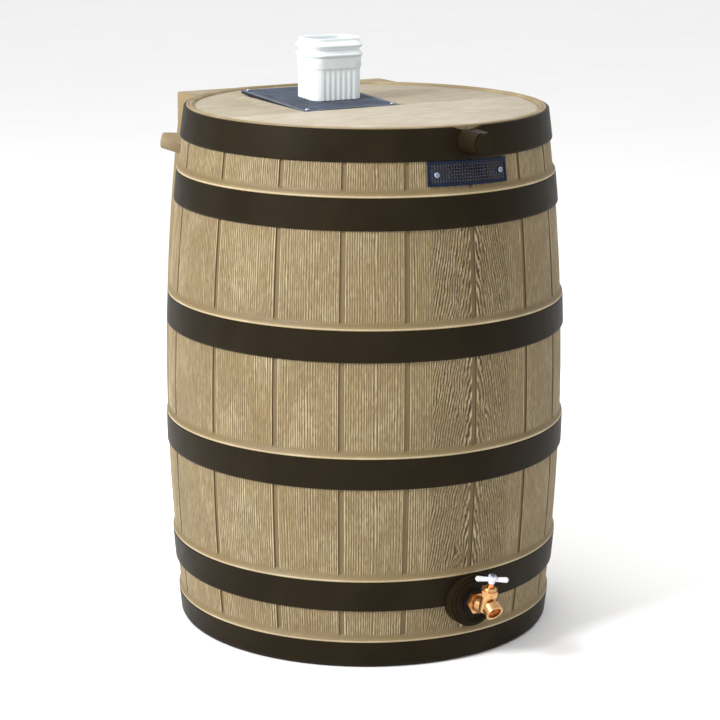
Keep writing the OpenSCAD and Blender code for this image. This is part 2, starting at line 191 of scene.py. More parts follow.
def head_material():
    """Paler, streaked plastic of the top, with painted light: lighter in front of the crease, a painted
    highlight along the crease and painted shade on the back panel.
    """
    mat, nodes, links, shader = new_material("tan_top_plastic")
    streak = noise(nodes, links, 150, 4, (0.16, 1, 1), 0.6)
    tone = ramp(nodes, links, streak, [
        (0.25, (0.265, 0.222, 0.152)), (0.5, (0.335, 0.292, 0.216)), (0.75, (0.410, 0.370, 0.290))])
    cloud = ramp(nodes, links, noise(nodes, links, 12, 4), [
        (0.3, (0.93, 0.92, 0.89)), (0.7, (1.04, 1.04, 1.05))])
    # Painted light across the crease: the front panel a little lighter as if lit, a bright painted highlight
    # line on the crease, painted shade on the back panel.
    place = nodes.new("ShaderNodeTexCoord")
    split = nodes.new("ShaderNodeSeparateXYZ")
    links.new(place.outputs["Object"], split.inputs["Vector"])
    across = nodes.new("ShaderNodeMapRange")
    across.inputs["From Min"].default_value = (CREASE_Y - 1) * MM
    across.inputs["From Max"].default_value = (CREASE_Y + 1) * MM
    links.new(split.outputs["Y"], across.inputs["Value"])
    panels = ramp(nodes, links, across.outputs["Result"], [
        (0.0, (1.06, 1.07, 1.10)), (0.5, (1.25, 1.25, 1.25)), (1.0, (0.86, 0.84, 0.80))])
    tone = mix(nodes, links, "MULTIPLY", 1.0, tone, panels)
    links.new(mix(nodes, links, "MULTIPLY", 1.0, tone, cloud), shader.inputs["Base Color"])
    links.new(spread(nodes, links, streak, 0.5, 0.68), shader.inputs["Roughness"])
    first = bump(nodes, links, streak, 0.5, 0.0006)
    links.new(bump(nodes, links, noise(nodes, links, 1300, 2), 0.3, 0.0002, first), shader.inputs["Normal"])
    shader.inputs["Specular IOR Level"].default_value = 0.35
    return mat


def plain_material(name, dark, light, scale, rough, grain_scale, grain_depth, **sockets):
    """Moulded or painted surface: two close tones, uneven gloss and a fine grain."""
    mat, nodes, links, shader = new_material(name)
    cloud = noise(nodes, links, scale, 4)
    links.new(ramp(nodes, links, cloud, [(0.3, dark), (0.7, light)]), shader.inputs["Base Color"])
    links.new(spread(nodes, links, noise(nodes, links, scale * 3), *rough), shader.inputs["Roughness"])
    links.new(bump(nodes, links, noise(nodes, links, grain_scale), 0.4, grain_depth),
              shader.inputs["Normal"])
    for key, value in sockets.items():
        shader.inputs[key.replace("_", " ")].default_value = value
    return mat


STAVE = stave_material()
HEAD = head_material()
NUB = plain_material("tan_side_port", (0.150, 0.108, 0.050), (0.205, 0.152, 0.078), 45,
                     (0.5, 0.66), 1300, 0.0002, Specular_IOR_Level=0.35)
HOOP = plain_material("dark_hoop_plastic", (0.0100, 0.0066, 0.0025), (0.0150, 0.0104, 0.0045), 14,
                      (0.38, 0.52), 1400, 0.00015, Specular_IOR_Level=0.06)
SCREEN = plain_material("blue_grey_screen", (0.040, 0.050, 0.072), (0.075, 0.090, 0.122), 40,
                        (0.4, 0.6), 900, 0.0001, Specular_IOR_Level=0.3)
# Near-black folded screen edges: partly their dark colour, partly painted shade of the gap under the screen.
SCREEN_EDGE_AND_SHADE = plain_material("screen_edge_and_painted_shade", (0.006, 0.007, 0.010), (0.012, 0.013, 0.018), 60,
                      (0.45, 0.6), 900, 0.0001, Specular_IOR_Level=0.3)
PATCH = plain_material("navy_mesh", (0.016, 0.020, 0.042), (0.046, 0.050, 0.078), 60,
                       (0.3, 0.5), 900, 0.0001, Metallic=0.3)
PATCH_EDGE = plain_material("navy_border", (0.0045, 0.008, 0.022), (0.008, 0.013, 0.032), 60,
                            (0.4, 0.6), 900, 0.0001, Specular_IOR_Level=0.1)
STEEL = plain_material("screw_steel", (0.20, 0.24, 0.33), (0.36, 0.41, 0.50), 300,
                       (0.22, 0.38), 2200, 0.00005, Metallic=1.0)
BRASS = plain_material("cast_brass", (0.56, 0.27, 0.11), (0.70, 0.44, 0.20), 90,
                       (0.2, 0.42), 900, 0.0002, Metallic=1.0)
COPPER = plain_material("copper_red_brass", (0.70, 0.24, 0.07), (0.82, 0.36, 0.13), 150,
                        (0.18, 0.34), 1200, 0.0001, Metallic=1.0)
RUBBER = plain_material("black_rubber", (0.006, 0.006, 0.006), (0.012, 0.011, 0.010), 80,
                        (0.75, 0.9), 1500, 0.0002, Specular_IOR_Level=0.12)
HANDLE = plain_material("white_handle_enamel", (0.56, 0.56, 0.63), (0.66, 0.66, 0.72), 120,
                        (0.2, 0.34), 900, 0.0001, Coat_Weight=0.2)
VINYL = plain_material("white_vinyl", (0.68, 0.735, 0.75), (0.72, 0.77, 0.785), 22,
                       (0.4, 0.55), 900, 0.0001, Specular_IOR_Level=0.35,
                       Subsurface_Weight=0.5, Subsurface_Scale=0.006, Subsurface_Radius=(1, 1, 1))


# ---------------------------------------------------------------- mesh tools
def mesh_object(name, points, faces, material, body="barrel", slot=None, sharp=None):
    """Mesh from an (n, 3) array in millimetres and a list of faces, or of arrays of equal faces."""
    mesh = bpy.data.meshes.new(name)
    groups = [np.asarray(g, int) for g in faces if len(g)]
    sizes = np.concatenate([np.full(len(g), g.shape[1]) for g in groups])
    loops = np.concatenate([g.ravel() for g in groups])
    mesh.vertices.add(len(points))
    mesh.vertices.foreach_set("co", (np.asarray(points, float) * MM).ravel())
    mesh.loops.add(len(loops))
    mesh.loops.foreach_set("vertex_index", loops.astype(np.int32))
    mesh.polygons.add(len(sizes))
    starts = np.concatenate([[0], np.cumsum(sizes)[:-1]])
    mesh.polygons.foreach_set("loop_start", starts.astype(np.int32))
    mesh.update(calc_edges=True)
    mesh.validate()
    mesh.shade_smooth()
    if sharp is not None:
        mesh.set_sharp_from_angle(angle=math.radians(sharp))
    mesh.materials.append(material)
    obj = bpy.data.objects.new(name, mesh)
    bpy.context.scene.collection.objects.link(obj)
    if body:
        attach(obj, body)
    return obj


def quads(rows, cols, start=0, wrap=True):
    """Quads of a grid whose vertices run row by row; the columns close when wrap is set."""
    i, j = np.meshgrid(np.arange(rows - 1), np.arange(cols if wrap else cols - 1), indexing="ij")
    k = (j + 1) % cols
    return (start + np.stack([i * cols + j, i * cols + k, (i + 1) * cols + k, (i + 1) * cols + j], -1)
            ).reshape(-1, 4)


def merge(parts):
    """One mesh from several (points, faces) parts."""
    points, faces, count = [], [], 0
    for part_points, part_faces in parts:
        points.append(np.asarray(part_points, float))
        faces += [np.asarray(f, int) + count for f in part_faces]
        count += len(part_points)
    return np.concatenate(points), faces


def lathe(profile, segments=64):
    """Closed solid of revolution about Z from (r, z) points, which start and end on the axis."""
    inner = np.array(profile[1:-1], float)
    a = np.arange(segments) * TAU / segments
    ring = np.stack([np.outer(inner[:, 0], np.cos(a)), np.outer(inner[:, 0], np.sin(a)),
                     np.repeat(inner[:, 1:], segments, 1)], -1).reshape(-1, 3)
    n = len(inner)
    points = np.concatenate([ring, [[0, 0, profile[0][1]], [0, 0, profile[-1][1]]]])
    j = np.arange(segments)
    k = (j + 1) % segments
    first, last = n * segments, n * segments + 1
    return points, [quads(n, segments), np.stack([k, j, np.full(segments, first)], -1),
                    np.stack([(n - 1) * segments + j, (n - 1) * segments + k, np.full(segments, last)], -1)]


def placed(part, matrix):
    """The same (points, faces) part, moved by a matrix."""
    points, faces = part
    return np.asarray(points) @ np.array(matrix.to_3x3()).T + np.array(matrix.translation), faces


def turned(axis, degrees):
    return Matrix.Rotation(math.radians(degrees), 4, axis)


def at(x, y, z):
    return Matrix.Translation((x, y, z))


def smooth(x, low, high):
    """0 up to low, 1 from high, and a smooth step between them."""
    t = np.clip((x - low) / (high - low), 0, 1)
    return t * t * (3 - 2 * t)


def lattice(u, v, seed):
    """Smooth noise from -1 to 1 on a unit lattice, which repeats after period cells."""
    period = 97
    table = np.random.default_rng(seed).uniform(-1, 1, (period, period))

    def pick(a, b):
        return table[a % period, b % period]

    u, v = np.broadcast_arrays(u, v)
    iu, iv = np.floor(u).astype(int), np.floor(v).astype(int)
    fu, fv = u - iu, v - iv
    fu, fv = fu * fu * (3 - 2 * fu), fv * fv * (3 - 2 * fv)
    low = pick(iu, iv) * (1 - fu) + pick(iu + 1, iv) * fu
    high = pick(iu, iv + 1) * (1 - fu) + pick(iu + 1, iv + 1) * fu
    return low * (1 - fv) + high * fv


# ---------------------------------------------------------------- tank wall
def bulge(z):
    """Radius of the hoops' face at height z."""
    return BELLY_R - BULGE_R + np.sqrt(BULGE_R ** 2 - (np.asarray(z, float) - BELLY_Z) ** 2)


RIM_R = float(bulge(HOOP_TOP[-1])) + STAVE_FACE


def front_fall(y):
    """How far the front panel lies below the back one at y."""
    return FRONT_DROP * np.clip(CREASE_Y - y, 0, None) / FRONT_REACH


def wall_columns():
    """Azimuth, groove depth share and stave number of each column on the round side."""
    shape = [(-4.9, 0), (-4.3, 0.04), (-4.0, 0.2), (-3.65, 0.92), (-3.2, 1), (0, 1),
             (3.2, 1), (3.65, 0.92), (4.0, 0.2), (4.3, 0.04), (4.9, 0)]
    clear, step = 5.6 / MM_PER_DEG, 0.9
    columns = []
    last = len(LIMITS) - 2
    for k, (low, high) in enumerate(zip(LIMITS, LIMITS[1:])):
        if k > 0:
            columns += [(low + mm / MM_PER_DEG, share, k - 1 if mm < 0 else k) for mm, share in shape]
        a = low + (clear if k > 0 else 0)
        b = high - (clear if k < last else 0)
        n = max(2, int(round((b - a) * MM_PER_DEG / step)))
        columns += [(a + (b - a) * i / n, 0, k) for i in range(n + 1)]
    columns = sorted(set(columns))
    return (np.array([c[0] for c in columns]), np.array([c[1] for c in columns], float),
            np.array([c[2] for c in columns]))


def wall_rows():
    """Height, offset from the hoops' face, grain share and groove share of each row."""
    rows = [(0.0, CHANNEL, 0, 0), (39.9, CHANNEL, 0, 0)]
    lip = [(0.1, CHANNEL), (0.1, -1.3), (0.6, -0.6), (1.6, -0.25), (3.0, -0.25), (4.3, -0.55),
           (5.5, -1.1), (6.7, -1.8), (7.9, -2.55), (9.2, -3.2), (10.8, -3.7), (12.5, -3.95)]
    step = 3.0
    for i in range(len(HOOP_TOP) - 1):
        a, b = HOOP_TOP[i], HOOP_LOW[i + 1]
        rows += [(a + dz, off, smooth(dz, 9, 14) * 0.8, smooth(dz, 9.5, 12.3)) for dz, off in lip]
        n = int(round((b - a - LIP_H) / step))
        heights = [a + LIP_H + (b - 0.1 - a - LIP_H) * k / n for k in range(n + 1)]
        if a < SLOT[0] < b:
            heights = sorted(heights + [SLOT[0], SLOT[1]])
        rows += [(z, STAVE_FACE, 1, 1) for z in heights]
        rows += [(b - 0.05, CHANNEL, 0, 1)]
        if i == 0:
            rows += [(PORT[1], CHANNEL, 0, 0)]
    return np.array(rows, float)


def straight_grain(u, z, seed):
    """Moulded straight grain: narrow light ridges a few millimetres apart, dark lines between."""
    drift = 0.8 * lattice(u / 40, z / 80, seed) + 0.2 * lattice(u / 7, z / 16, seed + 1)
    phase = (u + drift) / RIDGE + 0.4 * lattice(u / 11, 0 * z, seed + 2)
    f = phase - np.floor(phase) - 0.5
    crest = np.exp(-(f / 0.2) ** 2)
    line = np.exp(-((np.abs(f) - 0.5) / 0.17) ** 2)
    strength = 0.8 + 0.5 * lattice(u / 5, z / 24, seed + 3)
    fine = lattice(u / 1.5, z / 6, seed + 4)
    return 0.5 + strength * (0.42 * crest - 0.32 * line) + 0.13 * fine


def arched_grain(d, z, seed, knot):
    """Cathedral figure: arches that lean into the groove at d = 0, straight grain far from it."""
    jag = smooth(d, 0, 3) * (1.5 - smooth(d, 8, 30))
    warp = 1.6 * lattice(d / 10, z / 19, seed) + 0.95 * jag * lattice(d / 2.6, z / 4.4, seed + 1)
    e = np.maximum(d + warp, 0)
    bend = 20.0
    arm = 3.0 * e + np.minimum(e, bend) ** 2 / 12 + np.maximum(e - bend, 0) * bend / 6
    phase = (z + arm) / ARCH + 0.2 * lattice(d / 20, z / 40, seed + 2)
    rho = ((d - knot[0]) / 8) ** 2 + ((z - knot[1]) / 12) ** 2
    phase = phase + knot[2] * np.exp(-rho)
    pitch = ARCH / (3 + np.minimum(e, bend) / 6)
    close = np.exp(-(e / 9) ** 2)
    half = (0.95 + 1.3 * close) / pitch
    f = phase - np.floor(phase) - 0.5
    valley = np.exp(-(f / half) ** 2)
    above = np.exp(-((f - 1.6 * half) / (0.7 * half)) ** 2)
    below = np.exp(-((f + 1.6 * half) / (0.7 * half)) ** 2)
    crest = above + 0.7 * below
    wear = (0.8 + 0.35 * lattice(d / 6, z / 22, seed + 3)) * (1 + 0.4 * close)
    fine = lattice(d / 1.5, z / 3.4, seed + 4)
    near = 0.47 + wear * (0.50 * crest - 0.55 * valley) + 0.18 * fine
    far = straight_grain(d, z, seed + 5)
    share = smooth(e, 60, 68)
    return near * (1 - share) + far * share


def grain_height(az, stave, z):
    """Height of the grain, about 0 to 1, at each row and column of the round side, plus a raised line along
    each stave edge whose paler tone is a painted highlight.
    """
    u = (az - np.array(LIMITS)[stave]) * MM_PER_DEG
    height = np.full((len(z), len(az)), 0.5)
    band = np.searchsorted(HOOP_LOW, z) - 1
    for k, low in enumerate(LIMITS[:-1]):
        pick = stave == k
        across = u[pick][None, :]
        if low not in ARCHED:
            shifted = z[:, None] + 137.0 * k + 71.0 * band[:, None]
            height[:, pick] = straight_grain(across, shifted, 40 + 7 * k)
            continue
        d = (across if low == 0 else -low * MM_PER_DEG - across) - GROOVE
        for b in range(len(HOOP_TOP) - 1):
            at_rows = (z >= HOOP_TOP[b]) & (z <= HOOP_LOW[b + 1])
            local = (z[at_rows] - HOOP_TOP[b])[:, None]
            part = arched_grain(d, local + 9.0 * b, 11 + 40 * b + (3 if low else 0),
                                KNOTS.get((b, low), (0, 0, 0)))
            height[np.ix_(at_rows, pick)] = part
    # A small raised ridge along each stave edge beside the grooves; its paler tone is a painted highlight.
    edge = np.minimum(u, (np.array(LIMITS)[stave + 1] - az) * MM_PER_DEG) - GROOVE
    return np.clip(height, 0, 1.1) + 0.30 * np.exp(-((edge - 1.1) / 0.8) ** 2)[None, :] * (edge > 0)[None, :]


def wall_tone(az, groove, groove_share, z, off, height, share):
    """Tone of the round side from 0, dark, to 1, pale: the lips with a painted highlight on their crown and
    painted shade where they fall back to the stave face, the grooves with painted shade in them, the grain,
    and a painted shadow behind the overflow patch.
    """
    corner = (groove > 0.5) & (groove < 1)
    # Lip tones: the thin bright line on the lip's crown is a painted highlight, and the slightly darker band
    # where it falls back to the stave face is painted shade.
    lip = np.where(off > -0.4, 0.95, np.where(off > -1.2, 0.56, np.where(off > STAVE_FACE, 0.46, 0.5)))
    plain = np.where(off < -7, 0.5, lip)[:, None] + 0 * az[None, :]
    # Painted shade in the grooves: nearly black in their bottom corners and darker on their floor than on the
    # staves.
    groove_painted_shade = np.where(corner, 0.02, np.where(groove >= 1, 0.40, 0.5))[None, :]
    plain = plain + (groove_painted_shade - plain) * (groove > 0.1)[None, :] * groove_share[:, None]
    tone = np.where(groove[None, :] > 0, plain, plain + (np.clip(height, 0, 1) - plain) * share)
    # Painted shadow: the wall behind the overflow patch gets the darkest tone, standing in for the shade
    # under the mesh.
    patch_painted_shade = ((z > PATCH_Z + 2) & (z < PATCH_Z + PATCH_H - 1))[:, None]
    return np.where(patch_painted_shade & (np.abs(az) * MM_PER_DEG < PATCH_W / 2)[None, :], 0.0, tone)


def round_points(az, z, radius, half):
    """Points of the round side; the end columns stretch to meet the slab, half wide."""
    limit = 180 - np.degrees(np.arcsin(half / (bulge(z) + radius[0])))
    beyond = np.clip((np.abs(az) - STRETCH_FROM) / (SIDE_END - STRETCH_FROM), 0, 1)
    angle = np.radians(np.sign(az) * (np.abs(az) + beyond * (limit[:, None] - SIDE_END)))
    r = (bulge(z) + radius[0])[:, None] + radius[1]
    return np.stack([r * np.sin(angle), -r * np.cos(angle), np.repeat(z[:, None], len(az), 1)], -1)


def slab_points(z, offset, inset):
    """Points from the end of the round side at +x, round the back, to the one at -x."""
    n_side, n_corner, n_back = 14, 7, 44
    half = bulge(z) - SLAB_INSET - inset
    start = np.sqrt((bulge(z) + offset) ** 2 - half ** 2)
    corner, back = SLAB_CORNER - inset, FLAT_Y - inset
    points = [np.stack([half, start + (back - corner - start) * s, z], -1)
              for s in np.linspace(0, 1, n_side + 1)[1:]]
    for q in np.linspace(0, math.pi / 2, n_corner + 1)[1:]:
        points.append(np.stack([half - corner + corner * math.cos(q),
                                np.full_like(half, back - corner + corner * math.sin(q)), z], -1))
    for s in np.linspace(0, 1, n_back + 1)[1:n_back // 2 + 1]:
        points.append(np.stack([(half - corner) * (1 - 2 * s), np.full_like(half, back), z], -1))
    right = np.stack(points, 1)
    return np.concatenate([right, right[:, :-1][:, ::-1] * np.array([-1, 1, 1])], 1)


def rim_points(edge, slab):
    """Over the rim from the wall's top edge: two beads, then down past the panel to the ceiling."""
    reach = np.linalg.norm(edge[:, :2], axis=1)
    direction = edge[:, :2] / reach[:, None]
    slab_top, bead_end = 801.0, 259.0
    outer = np.where(slab, np.minimum(RIM_R, reach - 3.0), RIM_R)

    def row(r, z):
        return np.column_stack([direction * r[:, None], z])

    def inset_r(inset):
        return outer - 0.02 - inset * np.where(slab, (outer - bead_end) / (RIM_R - bead_end), 1)

    rows = [row(np.where(slab, reach - inset, RIM_R), np.where(slab, z, 800.02))
            for inset, z in ((0.0, 799.6), (0.7, 800.6), (2.4, slab_top))]
    for z in (800.1, 800.9):
        rows.append(row(inset_r(0), np.where(slab, slab_top - (slab_top - z) * 0.1, z)))
    for inset, z in ((0.6, 801.6), (2.0, 801.95), (3.4, 801.75), (4.4, 800.9), (5.0, 800.7),
                     (5.6, 801.3), (7.0, 801.8), (8.8, 801.5), (10.2, 800.4), (11.0, 798.9)):
        rows.append(row(inset_r(inset), np.full(len(edge), z)))
    for inset, drop in ((11.3, 0.05), (13.8, 0.15)):
        r = inset_r(inset)
        rows.append(row(r, PANEL_Z - front_fall(direction[:, 1] * r) - drop))
    rows.append(row(inset_r(14.3), np.full(len(edge), CEILING_Z)))
    return np.array(rows)


def open_wall(grid, n_cols, az, z, z_in, first_in):
    """The grid's quads without the openings, and the faces that line the openings."""
    keep = np.ones(len(grid), bool)
    lining = []
    cell_row, cell_col = np.divmod(np.arange(len(grid)), n_cols)

    def nearest(values, wanted):
        return int(np.argmin(np.abs(values - wanted)))

    def corner(row, col):
        return row * n_cols + col

    for low, high, half_width in (SLOT, PORT):
        across = az * MM_PER_DEG * (BELLY_R - 25) / ARC_R
        c0, c1 = nearest(across, -half_width), nearest(across, half_width)
        o0, o1 = nearest(z, low), nearest(z, high)
        i0, i1 = first_in + nearest(z_in, low), first_in + nearest(z_in, high)
        inside = (cell_col >= c0) & (cell_col < c1)
        keep &= ~(inside & (cell_row >= o0) & (cell_row < o1))
        keep &= ~(inside & (cell_row >= i1) & (cell_row < i0))
        for c in range(c0, c1):
            lining.append([corner(o0, c), corner(o0, c + 1), corner(i0, c + 1), corner(i0, c)])
            lining.append([corner(o1, c + 1), corner(o1, c), corner(i1, c), corner(i1, c + 1)])
        for c, turn in ((c0, 1), (c1, -1)):
            side = [corner(o, c) for o in range(o0, o1 + 1)] + [corner(i, c) for i in range(i1, i0 + 1)]
            lining.append(side[::turn])
    return grid[keep], [np.array([face]) for face in lining]


def tank_wall():
    """The staves, grooves, lips, slab, rim and inner skin as one closed mesh."""
    az, groove, stave = wall_columns()
    z, off, grain_share, groove_share = wall_rows().T
    height = grain_height(az, stave, z)
    flat = (groove > 0)[None, :] | (grain_share < 0.02)[:, None]
    share = grain_share[:, None] * np.where(groove[None, :] > 0, 0, 1)
    relief = np.where(flat, 0, (height - 0.75) * 0.8 * share)
    relief = relief - GROOVE_DEPTH * groove[None, :] * groove_share[:, None]
    outer = np.concatenate([round_points(az, z, (off, relief), bulge(z) - SLAB_INSET),
                            slab_points(z, off, 0.0)], 1)
    n_cols = outer.shape[1]
    tone = wall_tone(az, groove, groove_share, z, off, height, share)
    tone = np.concatenate([tone, np.full((len(z), n_cols - len(az)), 0.62)], 1)

    rim = rim_points(outer[-1], np.arange(n_cols) >= len(az))
    z_in = np.array([CEILING_Z, 760, SLOT[1], SLOT[0], 650, 560, 460, BELLY_Z, 250, 160,
                     PORT[1], PORT[0], 40, 0.0])
    inner = np.concatenate([round_points(az, z_in, (INSIDE, 0), bulge(z_in) - SLAB_INSET - SLAB_WALL),
                            slab_points(z_in, INSIDE, SLAB_WALL)], 1)
    stack = np.concatenate([outer, rim, inner])
    closing = quads(2, n_cols)
    closing = np.where(closing >= n_cols, closing - n_cols, closing + (len(stack) - 1) * n_cols)
    grid, lining = open_wall(quads(len(stack), n_cols), n_cols, az, z, z_in, len(outer) + len(rim))
    wall = mesh_object("tank_wall", stack.reshape(-1, 3), [grid, closing] + lining, STAVE,
                       slot="tank_plastic", sharp=50)
    tones = np.concatenate([tone.ravel(), np.full((len(rim) + len(inner)) * n_cols, 0.72)])
    # The grain attribute holds the moulded grain's tone together with the painted shade and painted
    # highlights from wall_tone.
    attribute = wall.data.attributes.new("grain", "FLOAT", "POINT")
    attribute.data.foreach_set("value", tones.astype(np.float32))
    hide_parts("tank_shell")


# ---------------------------------------------------------------- tank head, floor and ports
def prism(outline, low, high):
    """Closed prism over an outline of (x, y); low and high give a height for each point."""
    n = len(outline)
    outline = np.asarray(outline, float)
    points = np.concatenate([np.column_stack([outline, low(outline)]),
                             np.column_stack([outline, high(outline)])])
    j = np.arange(n)
    sides = np.stack([j, (j + 1) % n, n + (j + 1) % n, n + j], -1)
    return points, [sides, np.array([j[::-1]]), np.array([n + j])]


def level(value):
    """The same height for every point of an outline."""
    return lambda outline: np.full(len(outline), float(value))


def cut(obj, box_low, box_high):
    """Takes a box out of obj."""
    (x0, y0, z0), (x1, y1, z1) = box_low, box_high
    points, faces = prism([(x0, y0), (x1, y0), (x1, y1), (x0, y1)], level(z0), level(z1))
    tool = mesh_object("cutter", points, faces, HEAD)
    made = obj.modifiers.new("cut", "BOOLEAN")
    made.operation = "DIFFERENCE"
    made.solver = "EXACT"
    made.object = tool
    apply_modifiers(obj)
    bpy.data.objects.remove(tool)


def apply_modifiers(obj):
    """Swaps obj's mesh for what its modifiers make of it."""
    deps = bpy.context.evaluated_depsgraph_get()
    mesh = bpy.data.meshes.new_from_object(obj.evaluated_get(deps))
    obj.modifiers.clear()
    obj.data = mesh


def rounded(obj, width, segments=3, angle=30):
    """Rounds the edges of obj that turn by more than angle degrees."""
    made = obj.modifiers.new("edges", "BEVEL")
    made.width = width * MM
    made.segments = segments
    made.limit_method = "ANGLE"
    made.angle_limit = math.radians(angle)
    made.harden_normals = False
    made.use_clamp_overlap = True
    apply_modifiers(obj)
    obj.data.shade_smooth()
    obj.data.set_sharp_from_angle(angle=math.radians(50))


def tank_head():
    """The sunk top panels with their crease, the recess under the screen and the inlet hole."""
    n_front, n_back = 90, 120
    radius = RIM_R - 12.6
    crease = math.degrees(math.acos(-CREASE_Y / radius))
    front = [math.radians(a) for a in np.linspace(-crease, crease, n_front)]
    back = [math.radians(a) for a in np.linspace(crease, 360 - crease, n_back)][1:-1]
    flat = FLAT_Y - 6
    outline = [(radius * math.sin(a), min(-radius * math.cos(a), flat)) for a in front + back]
    points, faces = prism(outline, level(CEILING_Z + 0.2), level(PANEL_Z))
    n = len(outline)
    points[n:, 2] -= front_fall(points[n:, 1])
    faces[2] = [list(range(n, n + n_front))]
    faces.append([list(range(n + n_front - 1, 2 * n)) + [n]])
    head = mesh_object("tank_head", points, faces, HEAD, slot="tank_plastic")
    cut(head, (RECESS[0], CREASE_Y, RECESS[3]), (RECESS[1], RECESS[2], 820))
    cut(head, (HOLE[0], HOLE[2], 770), (HOLE[1], HOLE[3], 820))
    rounded(head, 1.4)


def screen_kerb():
    """Soft kerb left of the recess that rises to the back with the screen."""
    n_x, n_y = 14, 24
    back = RECESS[2]
    x = RECESS[0] - KERB_W + KERB_W * np.linspace(0, 1, n_x)
    y = np.linspace(CREASE_Y + 2, back + 2, n_y)
    rise = KERB_RISE * np.clip((y - CREASE_Y) / (back - CREASE_Y), 0, 1) * (1 - smooth(y, back - 8, back + 2))
    side = smooth(x, x[0], x[-1] - 2) * (1 - 0.12 * (np.arange(n_x) == n_x - 1))
    top = PANEL_Z - 0.15 + rise[:, None] * side[None, :]
    grid_x, grid_y = np.meshgrid(x, y)
    upper = np.stack([grid_x, grid_y, top], -1).reshape(-1, 3)
    lower = np.stack([grid_x, grid_y, np.full_like(top, PANEL_Z - 4)], -1).reshape(-1, 3)
    count = n_x * n_y
    around = ([i * n_x for i in range(n_y)][::-1] + list(range(1, n_x))
              + [i * n_x + n_x - 1 for i in range(1, n_y)]
              + [(n_y - 1) * n_x + j for j in range(n_x - 2, 0, -1)])
    around = np.array(around)
    following = np.roll(around, -1)
    sides = np.stack([around, following, following + count, around + count], -1)[:, ::-1]
    faces = [quads(n_y, n_x, wrap=False), quads(n_y, n_x, start=count, wrap=False)[:, ::-1], sides]
    mesh_object("screen_kerb", np.concatenate([upper, lower]), faces, HEAD, slot="tank_plastic", sharp=50)


def tank_floor():
    """Plate that closes the tank just above the ground."""
    angles = np.radians(np.arange(0, 360, 2))
    radius = float(bulge(3)) - 9
    half = float(bulge(3)) - SLAB_INSET - 2
    outline = []
    back = FLAT_Y - 2.5
    for a in angles:
        x, y = radius * math.sin(a), -radius * math.cos(a)
        if y > 0 and abs(x) < half:
            y = back
        outline.append((x, min(y, back)))
    points, faces = prism(outline, level(0.6), level(5))
    mesh_object("tank_floor", points, faces, HEAD, slot="tank_plastic", sharp=40)


def side_nubs():
    """The two blind ports low under the rim, one on each side."""
    parts = []
    profile = [(0, 0), (17, 0), (16.4, 8), (15.2, 20), (14.2, 28), (13.4, 34), (12.7, 38), (12.5, 41),
               (11.8, 42.8), (10.4, 43.8), (8.5, 44), (7.5, 43.9), (6.8, 43.2), (0, 43)]
    for s in (-1, 1):
        start = float(bulge(PORT_Z)) + INSIDE
        place = turned("Z", s * PORT_AZ - 90) @ at(start, 0, PORT_Z) @ turned("Y", 90 - PORT_LEAN)
        parts.append(placed(lathe(profile), place))
    points, faces = merge(parts)
    mesh_object("side_nubs", points, faces, NUB, slot="tank_plastic", sharp=50)


ON_SCREEN = at(SCREEN_X, CREASE_Y + 1, PANEL_Z - 1.5) @ turned("X", SCREEN_TILT)


def screen_posts():
    """Four bosses that carry the inlet screen's corners."""
    parts = []
    for s in (-1, 1):
        for y in (SCREEN_INSET, SCREEN_L - SCREEN_INSET):
            top = ON_SCREEN @ Vector((s * (SCREEN_W / 2 - SCREEN_INSET), y, -0.1))
            low = RECESS[3] - 1.0
            profile = [(0, low), (8.5, low), (7.6, low + 1.4), (6.4, low + 2.6), (6.0, low + 3.8),
                       (6.0, max(top.z - 0.5, low + 4.0)), (5.6, max(top.z - 0.1, low + 4.3)),
                       (0, max(top.z - 0.1, low + 4.3))]
            parts.append(placed(lathe(profile, 40), at(top.x, top.y, 0)))
    points, faces = merge(parts)
    mesh_object("screen_posts", points, faces, HEAD, slot="tank_plastic", sharp=50)


# ---------------------------------------------------------------- mesh screens
def woven(to_space, width, length, pitch, radius, border, sides=6):
    """Plain weave of wires inside a border, in (u, v, w), carried to millimetres by to_space."""
    parts = []
    a = np.arange(sides) * TAU / sides
    for along in (0, 1):
        span, across = (length, width) if along else (width, length)
        n_wires = int((across - 2 * border) / pitch)
        n_cross = int((span - 2 * border) / pitch)
        first = (across - (n_wires - 1) * pitch) / 2
        start = (span - (n_cross - 1) * pitch) / 2
        s = np.concatenate([[border - 1], start + np.arange(2 * n_cross - 1) * pitch / 2,
                            [span - border + 1]])
        for k in range(n_wires):
            swing = radius * 0.9 * np.cos(math.pi * ((s - start) / pitch + k + along))
            c = first + k * pitch + radius * np.cos(a)[None, :] + 0 * s[:, None]
            w = swing[:, None] + radius * np.sin(a)[None, :]
            t = s[:, None] + 0 * c
            uvw = np.stack([c, t, w] if along else [t, c, w], -1).reshape(-1, 3)
            n = len(s)
            ring = quads(n, sides)
            caps = np.stack([np.arange(sides)[::-1], (n - 1) * sides + np.arange(sides)])
            if along:
                ring, caps = ring[:, ::-1], caps[:, ::-1]
            parts.append((to_space(uvw), [ring, caps]))
    return merge(parts)


def sheet_frame(to_space, width, length, border, low, high, steps=(48, 24)):
    """Flat border round a rectangular mesh, in the same (u, v, w) as the weave."""
    def loop(inset, w):
        nu, nv = steps
        u = np.concatenate([np.linspace(inset, width - inset, nu, endpoint=False),
                            np.full(nv, width - inset),
                            np.linspace(width - inset, inset, nu, endpoint=False), np.full(nv, inset)])
        v = np.concatenate([np.full(nu, inset), np.linspace(inset, length - inset, nv, endpoint=False),
                            np.full(nu, length - inset),
                            np.linspace(length - inset, inset, nv, endpoint=False)])
        return np.stack([u, v, np.full(len(u), w)], -1)
    soft = 0.25 * (high - low)
    loops = [loop(0, low + soft), loop(0, high - soft), loop(soft, high), loop(border - soft, high),
             loop(border, high - soft), loop(border, low + soft), loop(border - soft, low), loop(soft, low)]
    n = len(loops[0])
    points = np.concatenate(loops)
    grid = quads(len(loops), n)
    closing = quads(2, n)
    closing = np.where(closing >= n, closing - n, closing + (len(loops) - 1) * n)
    return to_space(points), [grid, closing]


